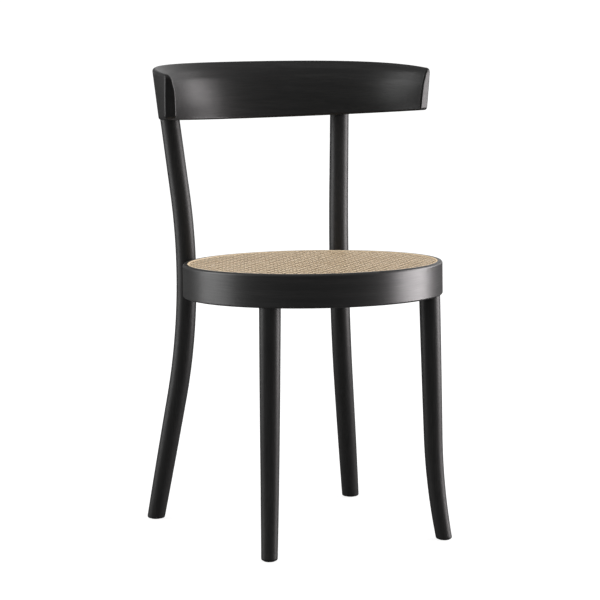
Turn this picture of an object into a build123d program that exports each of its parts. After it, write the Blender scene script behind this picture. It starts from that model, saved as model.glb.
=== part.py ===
from build123d import *
import os
from math import acos, atan2, cos, hypot, radians, sin, sqrt, tan

# A dining chair with a round cane seat: a bent hoop, four turned legs and a curved back board.
# Millimetres, +Z up, floor at Z = 0. The sitter faces -Y, so left is +X and right is -X.
# Plan positions are worked out from the upright line through the seat's centre, the seat axis.

# Seat hoop
seat_height = 450.0  # top of the rim at the seat axis
seat_slope = 1.8  # degrees, the front edge stands higher
hoop_radius = 212.5  # outside
hoop_width = 34.0
hoop_height = 54.0
hoop_top_round = 4.0
hoop_bottom_round = 2.5
rim_width = 7.5  # wood that shows outside the cane

# Cane sheet and the reed spline that holds its edge in a groove
cane_thickness = 2.2
cane_edge = 1.2  # thickness where the sheet is turned down into the groove
cane_tuck = 5.0
cane_pitch = 22.0
cane_gap = 13.0  # across the corners of an eight-sided gap
cane_border = 5.0  # closed weave outside the outermost gaps
groove_width = 5.0
groove_depth = 7.0
spline_round = 1.2

# Front legs: a straight run under the hoop, then a sweep out to the foot
front_leg_angle = 48.3  # degrees from straight ahead, at the hoop
front_leg_top_radius = 17.3
front_leg_middle_radius = 15.8
front_leg_foot_radius = 12.9
front_sweep_direction = 30.0  # degrees from straight ahead, seen from above
front_run_lean = 2.1  # degrees
front_foot_lean = 12.7
front_knee_height = 84.5
front_bend_radius = 920.0
tenon_radius = 11.0
tenon_length = 30.0

# Rear legs: one long bend with a straight run below and above it
rear_leg_angle = 40.2  # degrees from straight back, at the hoop
rear_leg_foot_radius = 14.5
rear_leg_radius = 16.6
rear_leg_top_radius = 16.1
rear_bend_radius = 1030.0
rear_waist_drop = 69.0  # the middle of the bend lies this far below the seat
rear_lower_lean = 10.45  # degrees
rear_lower_direction = 48.0  # degrees from straight back, seen from above
rear_upper_lean = 9.0
rear_upper_direction = 31.3
hoop_housing_depth = 2.5  # how far each rear leg is let in over the hoop

# Back board: a leaning part of a cylinder, hollowed towards a thin top edge
back_radius = 245.5  # outside
back_lean = 16.9  # degrees
back_wrap = 82.5  # degrees from the middle to each end
back_top = 766.0  # at the middle
back_middle_height = 96.8
back_end_rise = 19.0  # the lower edge climbs this much towards the ends
back_crown_radius = 2500.0  # of the top edge, seen from the side
back_crown_offset = 52.0  # its highest point lies this far in front of the board's rear
back_bottom_thickness = 18.5
back_top_thickness = 7.4
back_hollow_power = 5.5  # how late the inner face curves away
back_end_angle = 16.4  # degrees, the end faces look outwards
back_end_lean = 5.0  # degrees, the ends lean forwards
back_corner_round = 7.0  # upper corners of the ends, seen from the side
back_heel_round = 5.5  # lower corners of the ends
back_outer_round = 4.4  # all round the outer face
back_inner_round = 2.8  # all round the inner face
back_lap = 8.7  # how far the board is let into the rear legs at its lower edge
leg_below_top = 38.0  # the rear legs end this far below the board's top
leg_end_round = 5.0

# Fasteners
bolt_radius = 3.0
bolt_bite = 10.0  # length inside the leg
bolt_head_radius = 5.25
bolt_head_height = 3.3
bolt_head_taper = 24.0  # degrees
bolt_socket_radius = 2.3  # to the corners of its six sides
bolt_socket_depth = 2.0
bolt_spacing = 24.0
washer_radius = 8.0
washer_thickness = 1.6
spot_face_depth = 1.0
insert_radius = 4.6
insert_length = 13.0
insert_depth = 0.5  # sunk below the leg's face
screw_radius = 2.2
screw_head_radius = 4.2
screw_head_height = 2.6
back_screw_bite = 12.0  # length inside the board
back_screw_rise = 16.0  # first screw above the board's lower edge
back_screw_spacing = 20.0
plug_radius = 5.0
plug_length = 6.0
tenon_screw_length = 22.0
tenon_screw_rise = 16.0  # above the hoop's underside
fit = 0.1  # clearance of holes round what goes into them
end_gap = 1.0  # room left at the bottom of blind holes

# Feet
glide_radius = 9.0
glide_thickness = 1.2
glide_round = 0.5
glide_stem_radius = 1.6
glide_stem_length = 14.0
foot_round = 3.0

# Values that follow from those above
hoop_inner_radius = hoop_radius - hoop_width
groove_outer_radius = hoop_radius - rim_width
groove_inner_radius = groove_outer_radius - groove_width
cane_radius = groove_inner_radius + cane_edge
groove_floor = cane_thickness + groove_depth
washer_seat = hoop_inner_radius + spot_face_depth
slope = radians(seat_slope)
sides = {"left": 1, "right": -1}
from_base = (Align.CENTER, Align.CENTER, Align.MIN)
to_top = (Align.CENTER, Align.CENTER, Align.MAX)

# Cane gaps: a square pattern over the sheet, inside its border
cane_gap_sides = 8
cane_gap_limit = groove_inner_radius - cane_border - cane_gap / 2
cane_steps = range(-int(cane_gap_limit / cane_pitch), int(cane_gap_limit / cane_pitch) + 1)
cane_gaps = [
    (column * cane_pitch, row * cane_pitch)
    for column in cane_steps
    for row in cane_steps
    if hypot(column, row) * cane_pitch < cane_gap_limit
]


def slant(lean, direction, rise):
    """Unit vector of a run that leans out by an angle, in a direction from straight back."""
    out = sin(radians(lean))
    turn = radians(direction)
    return Vector(out * sin(turn), out * cos(turn), rise * cos(radians(lean)))


# Front leg line: shoulder under the hoop, knee and foot in one upright plane
front_top_reach = hoop_radius - front_leg_top_radius
front_top_x = front_top_reach * sin(radians(front_leg_angle))
front_top_y = -front_top_reach * cos(radians(front_leg_angle))
front_top_z = seat_height - hoop_height / cos(slope) - front_top_y * tan(slope)
front_shoulder = Vector(front_top_x, front_top_y, front_top_z)
front_up = slant(-front_run_lean, 180 - front_sweep_direction, 1)
front_down = slant(front_foot_lean, 180 - front_sweep_direction, -1)
front_knee = front_shoulder - front_up * ((front_shoulder.Z - front_knee_height) / front_up.Z)
front_foot = front_knee + front_down * ((front_knee_height - glide_thickness) / -front_down.Z)

# Rear leg line: the turn between its two runs, and the corner that the bend rounds off
rear_down = slant(rear_lower_lean, rear_lower_direction, -1)
rear_up = slant(rear_upper_lean, rear_upper_direction, 1)
rear_turn = acos(-rear_down.dot(rear_up))
rear_bow = rear_bend_radius * (1 / cos(rear_turn / 2) - 1)
rear_waist_reach = hoop_radius + rear_leg_radius - hoop_housing_depth
rear_waist = Vector(
    rear_waist_reach * sin(radians(rear_leg_angle)),
    rear_waist_reach * cos(radians(rear_leg_angle)),
    seat_height - rear_waist_drop,
)
rear_knee = rear_waist - (rear_down + rear_up).normalized() * rear_bow
rear_foot = rear_knee + rear_down * ((rear_knee.Z - glide_thickness) / -rear_down.Z)


def rear_line_at(height):
    """Point of the rear leg's upper run at a height."""
    return rear_knee + rear_up * ((height - rear_knee.Z) / rear_up.Z)


# Leg radii at shares of each leg's length, from the foot up
front_leg_stations = ((0, front_leg_foot_radius), (0.5, front_leg_middle_radius), (1, front_leg_top_radius))
rear_leg_stations = (
    (0, rear_leg_foot_radius),
    (0.3, rear_leg_radius),
    (0.62, rear_leg_radius),
    (1, rear_leg_top_radius),
)
foot_plane = Plane.XY.offset(glide_thickness)

# Back board: its axis is set so that the board is let into the legs by the lap
back_bottom = back_top - back_middle_height
back_shift = tan(radians(back_lean))
lap_point = rear_line_at(back_bottom)
lap_reach = back_radius + rear_leg_top_radius - back_lap
back_axis_y = lap_point.Y - sqrt(lap_reach**2 - lap_point.X**2)


def back_centre(height):
    """Centre of the board's level circle at a height, as a distance behind the seat axis."""
    return back_axis_y + (height - back_bottom) * back_shift


back_rear = back_centre(back_top) + back_radius
back_end_bottom = back_bottom + back_end_rise
back_end_y = back_centre(back_end_bottom) + back_radius * cos(radians(back_wrap))
back_hollow_stations = (-0.4, 0, 0.3, 0.5, 0.65, 0.78, 0.87, 0.94, 1.0, 1.05, 1.12)
board_margin = 0.3 * back_middle_height
board_start = back_bottom - board_margin
board_stock = 2 * back_bottom_thickness
board_limit = back_top + board_margin
board_travel = (board_limit - board_start) / cos(radians(back_lean))
board_front_y = back_end_y - board_margin
board_rear_y = back_rear + board_margin

# The seat axis is placed so that the origin is the middle of the whole chair's footprint
front_reach = max(hoop_radius, front_leg_foot_radius - front_foot.Y)
seat_axis_y = (front_reach - back_rear) / 2


def spot(x, y, z):
    """A point given from the seat axis, in the chair's own frame."""
    return Vector(x, y + seat_axis_y, z)


seat_plane = Plane(origin=spot(0, 0, seat_height), x_dir=(1, 0, 0), z_dir=(0, sin(slope), cos(slope)))
seat_section = Plane(origin=seat_plane.origin, x_dir=(1, 0, 0), z_dir=-seat_plane.y_dir)
seat_axis = Axis(seat_plane.origin, seat_plane.z_dir)


def seat_radial(angle, reach, height):
    """Plane square to a radius of the seat, facing out; the angle runs from straight back to +X."""
    out = Vector(sin(radians(angle)), cos(radians(angle)), 0)
    origin = seat_plane.from_local_coords(out * reach + Vector(0, 0, height))
    return Plane(origin=origin, z_dir=origin - seat_plane.from_local_coords(Vector(0, 0, height)))


bolt_heights = [-hoop_height / 2 + row * bolt_spacing / 2 for row in (-1, 1)]
bolt_spots = [(side * rear_leg_angle, height) for side in sides.values() for height in bolt_heights]
tenon_screw_height = tenon_screw_rise - hoop_height
tenon_screw_spots = [(side * (180 - front_leg_angle), tenon_screw_height) for side in sides.values()]
tenon_screw_reach = screw_head_height + tenon_screw_length + end_gap


def front_line(side):
    """Foot, knee and shoulder of a front leg, carried on past both ends for trimming."""
    foot = front_foot + front_down * front_leg_foot_radius
    top = front_shoulder + front_up * front_leg_top_radius
    return [spot(side * p.X, p.Y, p.Z) for p in (foot, front_knee, top)]


def rear_line(side):
    """Foot, knee and top of a rear leg, with the foot carried on for trimming."""
    foot = rear_foot + rear_down * rear_leg_foot_radius
    top = rear_line_at(back_top - leg_below_top)
    return [spot(side * p.X, p.Y, p.Z) for p in (foot, rear_knee, top)]


def tenon_plane(side):
    """Plane at a front leg's shoulder, facing up along the leg."""
    at = spot(side * front_shoulder.X, front_shoulder.Y, front_shoulder.Z)
    return Plane(origin=at, z_dir=(side * front_up.X, front_up.Y, front_up.Z))


def back_screw_spots(side):
    """Planes on the board's outer face, facing out, each with the depth of leg behind it."""
    found = []
    for row in range(2):
        height = back_bottom + back_screw_rise + row * back_screw_spacing
        leg = rear_line_at(height)
        centre = back_centre(height)
        turn = atan2(leg.X, leg.Y - centre)
        face = spot(side * back_radius * sin(turn), centre + back_radius * cos(turn), height)
        plane = Plane(origin=face, z_dir=(side * sin(turn), cos(turn), -cos(turn) * back_shift))
        depth = hypot(leg.X, leg.Y - centre) - back_radius + rear_leg_top_radius
        found.append((plane, depth - plug_length - screw_head_height))
    return found


all_back_screws = [screw for side in sides.values() for screw in back_screw_spots(side)]


def end_plane(side):
    """Plane of one end of the board, facing forwards."""
    turn = radians(back_end_angle)
    lean = tan(radians(back_end_lean))
    corner = spot(side * back_radius * sin(radians(back_wrap)), back_end_y, back_end_bottom)
    return Plane(origin=corner, z_dir=(side * sin(turn), -cos(turn), -cos(turn) * lean))


def hollow_radius(share):
    """Radius of the board's inner face, at a share of the way up to its top edge."""
    curve = min(max(share, 0), 1) ** back_hollow_power
    return back_radius - back_bottom_thickness + (back_bottom_thickness - back_top_thickness) * curve


def end_edges(board, rank):
    """One edge of each end face of the board, counted from the lowest to the highest."""
    found = []
    for side in sides.values():
        plane = end_plane(side)
        end_face = board.faces().filter_by(Axis(plane.origin, plane.z_dir))
        found.append(end_face.edges().sort_by(Axis.Z)[rank])
    return found


def widest_face(board):
    """The board's largest face."""
    return board.faces().sort_by(SortBy.AREA)[-1]


def crown_height(y):
    """Height of the board's top edge, at a distance behind the seat axis."""
    from_peak = y - (back_rear - back_crown_offset)
    return back_top - back_crown_radius + sqrt(back_crown_radius**2 - from_peak**2)


def lower_edge(y):
    """Height of the board's lower edge, at a distance behind the seat axis."""
    run = back_axis_y + back_radius - back_end_y
    return back_end_bottom - back_end_rise * (y - back_end_y) / run


# The hollow follows the top edge, so its sections are tilted with that edge's fall to the ends
back_fall = (crown_height(back_rear) - crown_height(back_end_y)) / (back_rear - back_end_y)
back_stretch = 1 / (1 - back_shift * back_fall)


def hollow_plane(share):
    """Tilted plane of one section of the hollow, its origin in the board's middle."""
    level = crown_height(back_rear) - (1 - share) * back_middle_height
    y = (back_centre(level) - back_shift * back_fall * back_rear) * back_stretch
    origin = spot(0, y, level - (back_rear - y) * back_fall)
    return Plane(origin=origin, x_dir=(1, 0, 0), z_dir=(0, -back_fall, 1))


# Hoop blank: the bent section before its holes
with BuildPart() as hoop_blank:
    with BuildSketch(seat_section) as hoop_section:
        with BuildLine():
            Polyline(
                (hoop_radius, 0),
                (groove_outer_radius, 0),
                (groove_outer_radius, -groove_floor),
                (groove_inner_radius, -groove_floor),
                (groove_inner_radius, -cane_thickness),
                (hoop_inner_radius, -cane_thickness),
                (hoop_inner_radius, -hoop_height),
                (hoop_radius, -hoop_height),
                close=True,
            )
        make_face()
        fillet(hoop_section.vertices().group_by(Axis.X)[-1].sort_by(Axis.Y)[-1], hoop_top_round)
        fillet(hoop_section.vertices().group_by(Axis.Y)[0], hoop_bottom_round)
    revolve(axis=seat_axis)

# Board blank: part of a leaning ring, cut to its upper and lower edges
with BuildPart() as board_blank:
    board_base = spot(0, back_centre(board_start), board_start)
    with BuildSketch(Plane(origin=board_base, x_dir=(0, -1, 0), z_dir=(0, 0, 1))):
        Circle(back_radius)
        Circle(back_radius - board_stock, mode=Mode.SUBTRACT)
    extrude(amount=board_travel, dir=(0, sin(radians(back_lean)), cos(radians(back_lean))))
    with BuildSketch(Plane.YZ):
        with BuildLine():
            crown_spots = (board_front_y, back_end_y, board_rear_y)
            crown = ThreePointArc(*[(y + seat_axis_y, crown_height(y)) for y in crown_spots])
            Polyline(
                crown @ 1,
                (board_rear_y + seat_axis_y, lower_edge(board_rear_y)),
                (board_front_y + seat_axis_y, lower_edge(board_front_y)),
                crown @ 0,
            )
        make_face()
    extrude(amount=back_radius + board_margin, both=True, mode=Mode.INTERSECT)

# Board hollow: what is shaped out of the board to leave its inner face
with BuildPart() as board_hollow:
    for share in back_hollow_stations:
        radius = hollow_radius(share)
        with BuildSketch(hollow_plane(share)):
            Ellipse(radius * back_stretch * hypot(1, back_fall), radius, rotation=-90)
    loft()

# Rear leg blanks: round, bent in one arc and tapered both ways, before they are let in
rear_blanks = {}
for name, side in sides.items():
    with BuildPart() as rear_blank:
        with BuildLine() as rear_path:
            FilletPolyline(*rear_line(side), radius=rear_bend_radius)
        line = rear_path.wire()
        for share, radius in rear_leg_stations:
            with BuildSketch(Plane(origin=line @ share, z_dir=line % share)):
                Circle(radius)
        sweep(path=line, multisection=True)
        fillet(rear_blank.faces().sort_by(Axis.Z)[-1].edges(), leg_end_round)
        split(bisect_by=foot_plane, keep=Keep.TOP)
        fillet(rear_blank.faces().sort_by(Axis.Z)[0].edges(), foot_round)
    rear_blanks[name] = rear_blank

pieces = {}

with BuildPart() as seat_hoop:
    add(hoop_blank.part)
    for angle, height in bolt_spots:
        with Locations(-seat_radial(angle, hoop_inner_radius, height)):
            CounterBoreHole(bolt_radius + fit, washer_radius + fit, spot_face_depth, 2 * hoop_width)
    for angle, height in tenon_screw_spots:
        with Locations(-seat_radial(angle, hoop_inner_radius, height)):
            CounterBoreHole(screw_radius + fit, screw_head_radius + fit, screw_head_height, tenon_screw_reach)
    for side in sides.values():
        with Locations(tenon_plane(side)):
            Hole(tenon_radius + fit, tenon_length + end_gap)
pieces["seat_hoop"] = seat_hoop

# Cane: one holed sheet in the hoop's rebate, its edge turned down into the groove
with BuildPart() as cane_webbing:
    with BuildSketch(seat_plane):
        Circle(cane_radius)
        with Locations(*cane_gaps):
            RegularPolygon(cane_gap / 2, cane_gap_sides, rotation=180 / cane_gap_sides, mode=Mode.SUBTRACT)
    extrude(amount=-cane_thickness)
    with BuildSketch(seat_plane):
        Circle(cane_radius)
        Circle(groove_inner_radius + fit, mode=Mode.SUBTRACT)
    extrude(amount=-cane_thickness - cane_tuck)
pieces["cane_webbing"] = cane_webbing

with BuildPart() as cane_spline:
    with BuildSketch(seat_section) as spline_section:
        with Locations((cane_radius, -groove_floor)):
            Rectangle(groove_outer_radius - fit - cane_radius, groove_floor, align=Align.MIN)
        fillet(spline_section.vertices().group_by(Axis.Y)[-1], spline_round)
    revolve(axis=seat_axis)
pieces["cane_spline"] = cane_spline

for name, side in sides.items():
    with BuildPart() as front_leg:
        with BuildLine() as front_path:
            FilletPolyline(*front_line(side), radius=front_bend_radius)
        line = front_path.wire()
        for share, radius in front_leg_stations:
            with BuildSketch(Plane(origin=line @ share, z_dir=line % share)):
                Circle(radius)
        sweep(path=line, multisection=True)
        split(bisect_by=seat_plane.offset(-hoop_height), keep=Keep.BOTTOM)
        split(bisect_by=foot_plane, keep=Keep.TOP)
        fillet(front_leg.faces().sort_by(Axis.Z)[0].edges(), foot_round)
        with Locations(tenon_plane(side).offset(-tenon_radius)):
            Cylinder(tenon_radius, tenon_radius + tenon_length, align=from_base)
        with Locations(-seat_radial(side * (180 - front_leg_angle), hoop_inner_radius, tenon_screw_height)):
            Hole(screw_radius + fit, tenon_screw_reach)
        with Locations(spot(side * front_foot.X, front_foot.Y, front_foot.Z)):
            Hole(glide_stem_radius + fit, glide_stem_length + end_gap)
    pieces[f"front_leg_{name}"] = front_leg

for name, side in sides.items():
    with BuildPart() as rear_leg:
        add(rear_blanks[name].part)
        add(hoop_blank.part, mode=Mode.SUBTRACT)
        add(board_blank.part, mode=Mode.SUBTRACT)
        for height in bolt_heights:
            with Locations(seat_radial(side * rear_leg_angle, hoop_radius, height)):
                Hole(insert_radius + fit, insert_depth + insert_length)
                Hole(bolt_radius + fit, bolt_bite + end_gap)
        for face, depth in back_screw_spots(side):
            with Locations(face.offset(depth)):
                CounterBoreHole(screw_radius + fit, plug_radius + fit, 0, 2 * rear_leg_top_radius)
        with Locations(spot(side * rear_foot.X, rear_foot.Y, rear_foot.Z)):
            Hole(glide_stem_radius + fit, glide_stem_length + end_gap)
    pieces[f"rear_leg_{name}"] = rear_leg

with BuildPart() as backrest:
    add(board_blank.part)
    for side in sides.values():
        split(bisect_by=end_plane(side), keep=Keep.BOTTOM)
    fillet(end_edges(backrest, -1), back_corner_round)
    fillet(end_edges(backrest, 0), back_heel_round)
    fillet(widest_face(backrest).edges(), back_outer_round)
    add(board_hollow.part, mode=Mode.SUBTRACT)
    fillet(widest_face(backrest).edges(), back_inner_round)
    for face, depth in all_back_screws:
        with Locations(face):
            Hole(screw_radius + fit, back_screw_bite + end_gap)
pieces["backrest"] = backrest

# Bolts, washers and inserts that hold the rear legs to the hoop
with BuildPart() as hoop_bolts:
    for angle, height in bolt_spots:
        head_seat = seat_radial(angle, washer_seat - washer_thickness, height)
        with BuildSketch(head_seat):
            Circle(bolt_head_radius)
        extrude(amount=-bolt_head_height, taper=bolt_head_taper)
        with BuildSketch(head_seat.offset(-bolt_head_height)):
            RegularPolygon(bolt_socket_radius, 6)
        extrude(amount=bolt_socket_depth, mode=Mode.SUBTRACT)
        with Locations(head_seat):
            Cylinder(bolt_radius, washer_thickness + hoop_radius - washer_seat + bolt_bite, align=from_base)
pieces["hoop_bolts"] = hoop_bolts

with BuildPart() as bolt_washers:
    for angle, height in bolt_spots:
        with BuildSketch(seat_radial(angle, washer_seat, height)):
            Circle(washer_radius)
            Circle(bolt_radius + fit, mode=Mode.SUBTRACT)
        extrude(amount=-washer_thickness)
pieces["bolt_washers"] = bolt_washers

with BuildPart() as leg_inserts:
    for angle, height in bolt_spots:
        with BuildSketch(seat_radial(angle, hoop_radius + insert_depth, height)):
            Circle(insert_radius)
            Circle(bolt_radius + fit, mode=Mode.SUBTRACT)
        extrude(amount=insert_length)
pieces["leg_inserts"] = leg_inserts

with BuildPart() as tenon_screws:
    for angle, height in tenon_screw_spots:
        with Locations(seat_radial(angle, hoop_inner_radius + screw_head_height, height)):
            Cylinder(screw_radius, tenon_screw_length, align=from_base)
            Cylinder(screw_head_radius, screw_head_height, align=to_top)
pieces["tenon_screws"] = tenon_screws

with BuildPart() as back_screws:
    for face, depth in all_back_screws:
        with Locations(face.offset(depth)):
            Cylinder(screw_radius, depth + back_screw_bite, align=to_top)
            Cylinder(screw_head_radius, screw_head_height, align=from_base)
pieces["back_screws"] = back_screws

# Plugs over those screws, trimmed flush with the rear legs
with BuildPart() as screw_plugs:
    for face, depth in all_back_screws:
        with Locations(face.offset(depth + screw_head_height)):
            Cylinder(plug_radius, 2 * plug_length, align=from_base)
    rear_pair = rear_blanks["left"].part + rear_blanks["right"].part
    add(rear_pair, mode=Mode.INTERSECT)
pieces["screw_plugs"] = screw_plugs

for end, foot in {"front": front_foot, "rear": rear_foot}.items():
    for name, side in sides.items():
        with BuildPart() as glide:
            with Locations(spot(side * foot.X, foot.Y, foot.Z)):
                Cylinder(glide_radius, glide_thickness, align=to_top)
                Cylinder(glide_stem_radius, glide_stem_length, align=from_base)
            fillet(glide.edges().sort_by(Axis.Z)[0], glide_round)
        pieces[f"glide_{end}_{name}"] = glide

os.makedirs("parts", exist_ok=True)
for name, piece in pieces.items():
    piece.part.label = name
    export_step(piece.part, f"parts/{name}.step")
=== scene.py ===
import math
import random

import bpy
from mathutils import Matrix, Vector


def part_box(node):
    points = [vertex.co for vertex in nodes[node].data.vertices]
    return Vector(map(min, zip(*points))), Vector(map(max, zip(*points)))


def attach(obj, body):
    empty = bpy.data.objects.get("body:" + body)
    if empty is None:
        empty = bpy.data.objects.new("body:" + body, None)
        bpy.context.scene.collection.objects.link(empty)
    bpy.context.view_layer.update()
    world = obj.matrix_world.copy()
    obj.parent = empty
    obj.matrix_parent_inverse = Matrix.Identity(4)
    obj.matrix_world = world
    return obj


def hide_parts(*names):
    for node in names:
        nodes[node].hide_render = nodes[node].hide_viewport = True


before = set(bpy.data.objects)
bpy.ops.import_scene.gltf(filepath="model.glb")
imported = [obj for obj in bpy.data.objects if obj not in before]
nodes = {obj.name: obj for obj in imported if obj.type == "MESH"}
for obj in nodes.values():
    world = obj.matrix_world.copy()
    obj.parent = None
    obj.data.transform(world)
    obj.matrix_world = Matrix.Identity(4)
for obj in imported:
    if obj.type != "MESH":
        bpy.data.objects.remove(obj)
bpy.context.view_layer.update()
scene = bpy.context.scene

# Seat plane, in metres: the rim's top, tilted so that the front edge stands higher
seat_slope = math.radians(1.8)
cane_thickness = 0.0022
cane_radius = 0.2012
cane_low, cane_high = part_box("cane_webbing")
seat_centre = Vector((0, (cane_low.y + cane_high.y) / 2, cane_high.z - cane_radius * math.sin(seat_slope)))
seat_place = Matrix.Translation(seat_centre) @ Matrix.Rotation(-seat_slope, 4, "X")

# Cane weave, in metres: pairs from front to back and from side to side, and single diagonals both ways
weave_pitch = 0.0132
pair_offset = 0.00095
pair_width = 0.0016
diagonal_width = 0.0016
strand_thickness = 0.00014
strand_lift = 0.00014  # how far a strand rises and sinks where it crosses others
strand_step = 0.0028
strand_reach = 0.2006
strand_tuck = 0.0012  # length at each end that dips into the groove
tuck_drop = 0.0016
rim_margin = 0.001  # strands whose line lies closer than this to the end of the reach are left out

# Cane strands, without unit: half of the base and of the top as shares of the width, and the waves' gain
base_share = 0.5
top_share = 0.36
pair_gain = 1.6
diagonal_gain = 1.7

# Cane mesh: the steps of the shortest strand, and the seed of the strands' tints
fewest_steps = 4
tint_seed = 5

# Back board, in metres: the upright line that its grain bends round, and the radius of the bend
back_low, back_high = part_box("backrest")
back_axis_y = back_high.y - (back_high.x - back_low.x) / 2
back_bend = 0.24

# Studio: the upright lamps' distance and the floor's half width in metres, two level directions, and light
lamp_distance = 2.2
floor_reach = 80.0
behind = Vector((0.466, 0.875, 0.0))
behind_right = Vector((0.892, 0.453, 0.0))
even_glow = 0.45  # strength of the surroundings as a light
warm = (1.0, 0.955, 0.965)
white = (1.0, 1.0, 1.0)


def join(tree, socket, value):
    """Links an output to a socket, or sets a plain value on it."""
    if isinstance(value, bpy.types.NodeSocket):
        tree.links.new(value, socket)
    else:
        socket.default_value = value


def node(tree, kind, **values):
    """A new node; each keyword names an input, with _ for a space."""
    made = tree.nodes.new(kind)
    for name, value in values.items():
        join(tree, made.inputs[name.replace("_", " ")], value)
    return made


def maths(tree, operation, *values):
    """The result of one Math node."""
    made = tree.nodes.new("ShaderNodeMath")
    made.operation = operation
    for socket, value in zip(made.inputs, values):
        join(tree, socket, value)
    return made.outputs[0]


def measure(tree, operation, place, other=None):
    """The plain number that one Vector Math node gives."""
    made = tree.nodes.new("ShaderNodeVectorMath")
    made.operation = operation
    join(tree, made.inputs[0], place)
    if other is not None:
        join(tree, made.inputs[1], other)
    return made.outputs["Value"]


def between(tree, value, low, high, from_low=0.3, from_high=0.7):
    """Maps a range, as it stands a noise's usual one, to low and high."""
    made = node(tree, "ShaderNodeMapRange", Value=value, To_Min=low, To_Max=high)
    made.inputs["From Min"].default_value = from_low
    made.inputs["From Max"].default_value = from_high
    return made.outputs[0]


def streaks(tree, space, length, width, detail=3.0):
    """Noise drawn out along the first axis of the space, in metres."""
    spread = node(tree, "ShaderNodeMapping", Vector=space, Scale=(1 / length, 1 / width, 1 / width))
    noise = node(tree, "ShaderNodeTexNoise", Vector=spread.outputs[0], Scale=1.0, Detail=detail, Roughness=0.6)
    return noise.outputs[0]


def blend(tree, factor, first, second):
    """One colour turning into another."""
    made = tree.nodes.new("ShaderNodeMix")
    made.data_type = "RGBA"
    join(tree, made.inputs["Factor"], factor)
    join(tree, made.inputs["A"], first)
    join(tree, made.inputs["B"], second)
    return made.outputs["Result"]


def start_material(name):
    """A new node material, its tree and its Principled shader."""
    made = bpy.data.materials.new(name)
    made.use_nodes = True
    tree = made.node_tree
    return made, tree, tree.nodes["Principled BSDF"]


def add_bump(tree, shader, height, strength, distance):
    """Fine relief on a finish."""
    bump = node(tree, "ShaderNodeBump", Strength=strength, Distance=distance, Height=height)
    tree.links.new(bump.outputs[0], shader.inputs["Normal"])


def upright_grain(tree):
    """Grain that runs up a leg."""
    place = node(tree, "ShaderNodeTexCoord").outputs["Object"]
    split = node(tree, "ShaderNodeSeparateXYZ", Vector=place).outputs
    return node(tree, "ShaderNodeCombineXYZ", X=split["Z"], Y=split["X"], Z=split["Y"]).outputs[0]


def bent_grain(tree, axis_y, facing, radius):
    """Grain that runs round an upright line; the join lies opposite to facing, +1 back or -1 front."""
    place = node(tree, "ShaderNodeTexCoord").outputs["Object"]
    split = node(tree, "ShaderNodeSeparateXYZ", Vector=place)
    across = split.outputs["X"]
    depth = maths(tree, "MULTIPLY", maths(tree, "SUBTRACT", split.outputs["Y"], axis_y), facing)
    turn = maths(tree, "ARCTAN2", across, depth)
    squares = maths(tree, "ADD", maths(tree, "MULTIPLY", across, across), maths(tree, "MULTIPLY", depth, depth))
    reach = maths(tree, "SQRT", squares)
    run = maths(tree, "MULTIPLY", turn, radius)
    return node(tree, "ShaderNodeCombineXYZ", X=run, Y=reach, Z=split.outputs["Z"]).outputs[0]


def black_wood(name, stain, rough, shine, grain, *placing):
    """Black-stained open-grained wood under a thin satin lacquer; stain is how light the wood is."""
    made, tree, shader = start_material(name)
    space = grain(tree, *placing)
    fine = streaks(tree, space, length=0.035, width=0.0011)
    broad = streaks(tree, space, length=0.22, width=0.009, detail=2.0)
    pores = streaks(tree, space, length=0.009, width=0.0005, detail=1.0)
    tone = maths(tree, "MULTIPLY", between(tree, fine, 0.0, 1.0), between(tree, broad, 0.25, 1.0))
    dark = (0.5 * stain, 0.5 * stain, 0.504 * stain, 1)
    pale = (1.2 * stain, 1.18 * stain, 1.16 * stain, 1)
    tree.links.new(blend(tree, tone, dark, pale), shader.inputs["Base Color"])
    rough_swing = 0.03
    roughness = between(tree, fine, rough + rough_swing, rough - rough_swing)
    tree.links.new(roughness, shader.inputs["Roughness"])
    shader.inputs["Specular IOR Level"].default_value = shine
    height = maths(tree, "ADD", maths(tree, "MULTIPLY", fine, 0.6), maths(tree, "MULTIPLY", pores, 0.4))
    add_bump(tree, shader, height, strength=0.1, distance=0.0004)
    return made


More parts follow.
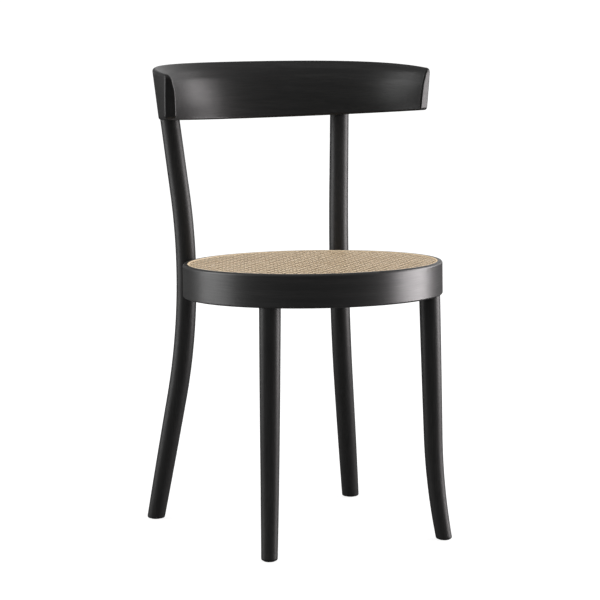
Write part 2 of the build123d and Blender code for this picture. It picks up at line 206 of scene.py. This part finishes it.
def cane_skin(name):
    """Split cane: a shiny straw-coloured skin with fine fibres and darker growth marks, and sides darker partly
    by their raw split colour and partly by painted shade.
    """
    made, tree, shader = start_material(name)
    chart = node(tree, "ShaderNodeTexCoord").outputs["UV"]
    tint = tree.nodes.new("ShaderNodeAttribute")
    tint.attribute_name = "strand_tint"
    tint = tint.outputs["Fac"]
    split = node(tree, "ShaderNodeSeparateXYZ", Vector=chart)
    strand_shift = 7.0  # metres between the marks of the first strand's tint and the last one's
    run = maths(tree, "ADD", split.outputs["X"], maths(tree, "MULTIPLY", tint, strand_shift))
    space = node(tree, "ShaderNodeCombineXYZ", X=run, Y=split.outputs["Y"], Z=tint).outputs[0]
    fibres = streaks(tree, space, length=0.02, width=0.06)
    patches = streaks(tree, space, length=0.05, width=2.0, detail=2.0)
    pale = blend(tree, tint, (0.70, 0.55, 0.37, 1), (0.82, 0.69, 0.50, 1))
    dark = blend(tree, tint, (0.56, 0.42, 0.26, 1), (0.67, 0.53, 0.36, 1))
    mottle = blend(tree, between(tree, patches, 0.0, 1.0, from_low=0.25, from_high=0.6), dark, pale)
    fibre_colour = (0.34, 0.235, 0.13, 1)
    skin = blend(tree, between(tree, fibres, 0.28, 0.0, from_high=0.65), mottle, fibre_colour)
    top_start, top_end = 0.5, 0.75  # the top's share of the way round a strand, from its base
    above = maths(tree, "GREATER_THAN", split.outputs["Y"], top_start)
    on_top = maths(tree, "MULTIPLY", above, maths(tree, "LESS_THAN", split.outputs["Y"], top_end))
    # Each strand's sides and base get a darker colour: partly the raw split cane's own duller colour, partly
    # painted shade where less light falls on them
    raw_side_and_painted_shade_colour = (0.32, 0.22, 0.125, 1)
    tree.links.new(blend(tree, on_top, raw_side_and_painted_shade_colour, skin), shader.inputs["Base Color"])
    tree.links.new(between(tree, fibres, 0.36, 0.52), shader.inputs["Roughness"])
    add_bump(tree, shader, fibres, strength=0.25, distance=0.0002)
    return made


def reed(name):
    """Matt round reed, its fibres running round the seat."""
    made, tree, shader = start_material(name)
    space = bent_grain(tree, seat_centre.y, -1.0, cane_radius)
    fibres = streaks(tree, space, length=0.03, width=0.0006)
    patches = streaks(tree, space, length=0.06, width=0.01, detail=2.0)
    base = blend(tree, between(tree, patches, 0.0, 1.0), (0.53, 0.41, 0.265, 1), (0.68, 0.555, 0.39, 1))
    colour = blend(tree, between(tree, fibres, 0.3, 0.0), base, (0.36, 0.26, 0.15, 1))
    tree.links.new(colour, shader.inputs["Base Color"])
    tree.links.new(between(tree, fibres, 0.5, 0.66), shader.inputs["Roughness"])
    add_bump(tree, shader, fibres, strength=0.25, distance=0.0003)
    return made


def plain_finish(name, dark, light, rough, metal):
    """A fastener's or glide's finish, slightly mottled and scuffed."""
    made, tree, shader = start_material(name)
    place = node(tree, "ShaderNodeTexCoord").outputs["Object"]
    mottle = streaks(tree, place, length=0.0025, width=0.0025)
    scuffs = streaks(tree, place, length=0.004, width=0.0006)
    tree.links.new(blend(tree, between(tree, mottle, 0.0, 1.0), dark, light), shader.inputs["Base Color"])
    tree.links.new(between(tree, scuffs, *rough), shader.inputs["Roughness"])
    add_bump(tree, shader, scuffs, strength=0.1, distance=0.0001)
    shader.inputs["Metallic"].default_value = metal
    return made


def levelled(value, gain):
    """A wave flattened at its crests, so that strands lie flat where they cross."""
    return max(-1.0, min(1.0, gain * value))


def pair_crest(along):
    """Height of the upper strand of a pair, between 0 and 1."""
    return max(0, levelled(math.cos(2 * math.pi * along / weave_pitch), pair_gain))


def diagonal_wave(across):
    """Height of a diagonal that leans to the left, between -1 and 1."""
    return levelled(math.cos(2 * math.pi * across / weave_pitch), diagonal_gain)


def strand_lines():
    """Each strand as (direction, distance from the centre, width, height along it)."""
    count = int(strand_reach / weave_pitch) + 1
    half = math.sqrt(0.5)
    lines = []
    for k in range(-count, count + 1):
        for side in (-1, 1):
            at = k * weave_pitch + side * pair_offset
            lines.append(((0, 1), at, pair_width, lambda x, y, side=side: side * pair_crest(y)))
            lines.append(((-1, 0), at, pair_width, lambda x, y: 0.0))
    for k in range(-2 * count, 2 * count + 1):
        at = (k + 0.5) * weave_pitch / math.sqrt(2)
        lines.append(((-half, half), at, diagonal_width, lambda x, y: diagonal_wave(x)))
        lines.append(((half, half), at, diagonal_width, lambda x, y: -diagonal_wave(x)))
    return [line for line in lines if abs(line[1]) < strand_reach - rim_margin]


def woven_cane():
    """The seat's cane, every strand a flat ribbon with a slightly narrower top."""
    chance = random.Random(tint_seed)
    points, quads, charts, tints = [], [], [], []
    middle = -cane_thickness / 2
    half_thick = 0.5 * strand_thickness
    for (dx, dy), distance, width, height in strand_lines():
        half_run = math.sqrt(strand_reach ** 2 - distance ** 2)
        count = max(fewest_steps, math.ceil(2 * half_run / strand_step))
        tint = chance.random()
        profile = (
            (-base_share * width, -half_thick),
            (base_share * width, -half_thick),
            (top_share * width, half_thick),
            (-top_share * width, half_thick),
        )
        corners = len(profile)
        first = len(points)
        for i in range(count + 1):
            run = -half_run + 2 * half_run * i / count
            x = dx * run + dy * distance
            y = dy * run - dx * distance
            z = middle + strand_lift * height(x, y)
            edge = max(0.0, math.hypot(x, y) - strand_reach + strand_tuck) / strand_tuck
            z -= tuck_drop * edge * edge
            for across, up in profile:
                points.append(seat_place @ Vector((x + dy * across, y - dx * across, z + up)))
                tints.append(tint)
        for i in range(count):
            run = 2 * half_run * i / count
            ahead = 2 * half_run * (i + 1) / count
            for side in range(corners):
                a = first + corners * i + side
                b = first + corners * i + (side + 1) % corners
                start, end = side / corners, (side + 1) / corners
                quads.append((a, b, b + corners, a + corners))
                charts.extend(((run, start), (run, end), (ahead, end), (ahead, start)))
        last = first + corners * count
        quads.append(tuple(first + side for side in reversed(range(corners))))
        quads.append(tuple(last + side for side in range(corners)))
        charts.extend([(0, side / corners) for side in range(corners)] * 2)
    mesh = bpy.data.meshes.new("woven_cane")
    mesh.from_pydata(points, [], quads)
    chart = mesh.uv_layers.new(name="strand_chart")
    chart.data.foreach_set("uv", [value for pair in charts for value in pair])
    attribute = mesh.attributes.new("strand_tint", "FLOAT", "POINT")
    attribute.data.foreach_set("value", tints)
    mesh.polygons.foreach_set("use_smooth", [True] * len(mesh.polygons))
    mesh.update()
    piece = bpy.data.objects.new("woven_cane", mesh)
    scene.collection.objects.link(piece)
    return piece


def dress(names, finish):
    """Gives CAD nodes a finish through their own material slots."""
    for name in names:
        for slot in nodes[name].material_slots:
            slot.material = finish


def softbox(name, bearing, width, low, high, glow, tint):
    """An upright lamp facing the chair; bearing in degrees from the front, to the sitter's left."""
    lamp = bpy.data.lights.new(name, "AREA")
    lamp.shape = "RECTANGLE"
    lamp.size = width
    lamp.size_y = high - low
    lamp.energy = math.pi * width * (high - low) * glow
    lamp.color = tint
    made = bpy.data.objects.new(name, lamp)
    turn = math.radians(bearing)
    made.location = (lamp_distance * math.sin(turn), -lamp_distance * math.cos(turn), (low + high) / 2)
    made.rotation_euler = (math.radians(90), 0, turn)
    scene.collection.objects.link(made)


# Wood, reed and fittings on the CAD nodes
hoop_grain = (bent_grain, seat_centre.y, -1.0, cane_radius)
back_grain = (bent_grain, back_axis_y, 1.0, back_bend)
dress(["seat_hoop"], black_wood("black_wood_hoop", 0.027, 0.37, 0.5, *hoop_grain))
dress(["backrest"], black_wood("black_wood_back", 0.019, 0.37, 0.28, *back_grain))
dress(["front_leg_left", "front_leg_right", "rear_leg_left", "rear_leg_right", "screw_plugs"],
      black_wood("black_wood_leg", 0.025, 0.42, 0.26, upright_grain))
dress(["cane_spline"], reed("reed"))
dress(["hoop_bolts", "bolt_washers", "tenon_screws", "back_screws"],
      plain_finish("zinc_steel", (0.42, 0.42, 0.43, 1), (0.6, 0.6, 0.61, 1), (0.28, 0.45), 1.0))
dress(["leg_inserts"],
      plain_finish("brass", (0.52, 0.37, 0.14, 1), (0.7, 0.52, 0.24, 1), (0.25, 0.4), 1.0))
dress(["glide_front_left", "glide_front_right", "glide_rear_left", "glide_rear_right"],
      plain_finish("black_nylon", (0.008, 0.008, 0.008, 1), (0.02, 0.02, 0.02, 1), (0.5, 0.65), 0.0))

# Woven seat
seat = woven_cane()
seat.data.materials.append(cane_skin("cane"))
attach(seat, "root")
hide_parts("cane_webbing")

# Camera at the photograph's viewing angle
lens = bpy.data.cameras.new("camera")
lens.sensor_width = 36.0
lens.lens = 154.26
lens.clip_end = 200.0
camera = bpy.data.objects.new("camera", lens)
camera.location = (-1.9807, -3.7109, 0.9599)
camera.rotation_euler = (math.radians(82.18), 0, math.radians(-28.03))
scene.collection.objects.link(camera)
scene.camera = camera

# Softboxes at both sides, those on the right stronger, and a lamp overhead that no reflection shows
softbox("right_box", bearing=66.5, width=1.5, low=0.02, high=0.65, glow=13.2, tint=warm)
softbox("right_upper_box", bearing=79.0, width=1.3, low=0.65, high=1.9, glow=8.2, tint=warm)
softbox("left_box", bearing=-120.0, width=1.5, low=0.02, high=2.0, glow=4.15, tint=white)
overhead = bpy.data.lights.new("overhead", "AREA")
overhead.size = 1.4
overhead.energy = 124.0
top_box = bpy.data.objects.new("overhead", overhead)
top_box.location = (0.0, 0.0, 4.4)
top_box.visible_glossy = False
scene.collection.objects.link(top_box)

# Surroundings: white to look at, an even light on the chair, a dim studio with a pale backdrop in reflections
world = bpy.data.worlds.new("studio")
world.use_nodes = True
scene.world = world
sky = world.node_tree
surround = sky.nodes["Background"]
surround.inputs["Color"].default_value = (1, 1, 1, 1)
path = sky.nodes.new("ShaderNodeLightPath").outputs
heading = sky.nodes.new("ShaderNodeTexCoord").outputs["Generated"]
rise = node(sky, "ShaderNodeSeparateXYZ", Vector=heading).outputs["Z"]
facing = measure(sky, "DOT_PRODUCT", heading, behind_right)
towards = between(sky, facing, 0.0, 0.8, from_low=0.6, from_high=0.9)
above = between(sky, rise, 0.0, 1.0, from_low=0.0, from_high=0.12)
overall = between(sky, rise, 0.17, 0.4, from_low=0.1, from_high=0.9)
mirrored = maths(sky, "ADD", maths(sky, "MULTIPLY", towards, above), overall)
direct = maths(sky, "ADD", path["Is Camera Ray"], path["Is Transmission Ray"])
glossy = maths(sky, "MULTIPLY", path["Is Glossy Ray"], mirrored)
even = maths(sky, "MULTIPLY", path["Is Diffuse Ray"], even_glow)
strength = maths(sky, "ADD", maths(sky, "ADD", direct, glossy), even)
sky.links.new(strength, surround.inputs["Strength"])

# Pale floor that keeps a soft shadow and runs out into the white backdrop
corners = [(-1, -1), (1, -1), (1, 1), (-1, 1)]
floor_mesh = bpy.data.meshes.new("floor")
floor_mesh.from_pydata([(floor_reach * x, floor_reach * y, 0) for x, y in corners], [], [(0, 1, 2, 3)])
floor = bpy.data.objects.new("floor", floor_mesh)
scene.collection.objects.link(floor)
pale_floor = bpy.data.materials.new("pale_floor")
pale_floor.use_nodes = True
ground = pale_floor.node_tree
ground.nodes.clear()
path = ground.nodes.new("ShaderNodeLightPath").outputs
place = ground.nodes.new("ShaderNodeTexCoord").outputs["Object"]
along = measure(ground, "DOT_PRODUCT", place, behind)
far_behind = between(ground, along, 0.0, 1.0, from_low=16.0, from_high=32.0)
direct = maths(ground, "ADD", path["Is Camera Ray"], path["Is Transmission Ray"])
shown = maths(ground, "ADD", direct, maths(ground, "MULTIPLY", path["Is Glossy Ray"], far_behind))
tone = blend(ground, path["Is Glossy Ray"], (0.3, 0.3, 0.3, 1), (0.1, 0.1, 0.1, 1))
lit = node(ground, "ShaderNodeBsdfDiffuse", Color=tone)
shaded = node(ground, "ShaderNodeBsdfDiffuse", Color=(0.2, 0.2, 0.2, 1))
fade = between(ground, measure(ground, "LENGTH", place), 0.86, 1.0, from_low=0.6, from_high=2.5)
glow = node(ground, "ShaderNodeEmission", Color=(1, 1, 1, 1), Strength=fade)
bright = ground.nodes.new("ShaderNodeAddShader")
ground.links.new(glow.outputs[0], bright.inputs[0])
ground.links.new(shaded.outputs[0], bright.inputs[1])
choice = ground.nodes.new("ShaderNodeMixShader")
ground.links.new(shown, choice.inputs[0])
ground.links.new(lit.outputs[0], choice.inputs[1])
ground.links.new(bright.outputs[0], choice.inputs[2])
output = ground.nodes.new("ShaderNodeOutputMaterial")
ground.links.new(choice.outputs[0], output.inputs["Surface"])
floor_mesh.materials.append(pale_floor)

scene.view_settings.view_transform = "Standard"
